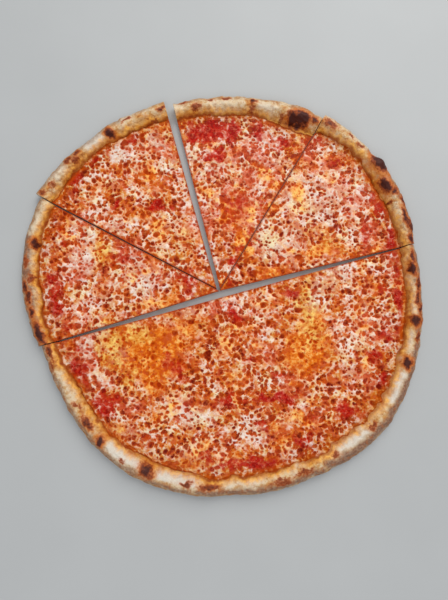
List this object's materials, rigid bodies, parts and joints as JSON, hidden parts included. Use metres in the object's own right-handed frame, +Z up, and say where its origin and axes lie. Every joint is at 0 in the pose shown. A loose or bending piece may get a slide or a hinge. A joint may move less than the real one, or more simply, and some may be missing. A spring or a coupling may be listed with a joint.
{
  "type": "new york-style cheese pizza",
  "caption": "Large round thin-crust cheese pizza with a raised rim, cut across into an uncut half and slices that lie together.",
  "frame": {"origin": "under the middle of the whole pizza's outline, on the surface it rests on", "axes": "+Z up, square to the underside; +X to the right and +Y away from the viewer, with the uncut half nearest the viewer"},
  "size_m": [0.4589, 0.4594, 0.0196],
  "materials": {
    "crust": "baked wheat crust, cream to golden brown with dark char spots and a dusting of flour, matte",
    "sauce": "cooked tomato sauce, deep red, slightly oily sheen",
    "cheese": "melted mozzarella, cream to orange with browned blister spots, moist sheen"
  },
  "bodies": {
    "root": {"half_crust": "crust", "half_sauce": "sauce", "half_cheese": "cheese", "slice_right_crust": "crust", "slice_right_sauce": "sauce", "slice_right_cheese": "cheese", "slice_upper_middle_crust": "crust", "slice_upper_middle_sauce": "sauce", "slice_upper_middle_cheese": "cheese", "slice_upper_left_crust": "crust", "slice_upper_left_sauce": "sauce", "slice_upper_left_cheese": "cheese", "slice_left_crust": "crust", "slice_left_sauce": "sauce", "slice_left_cheese": "cheese"}
  },
  "joints": []
}
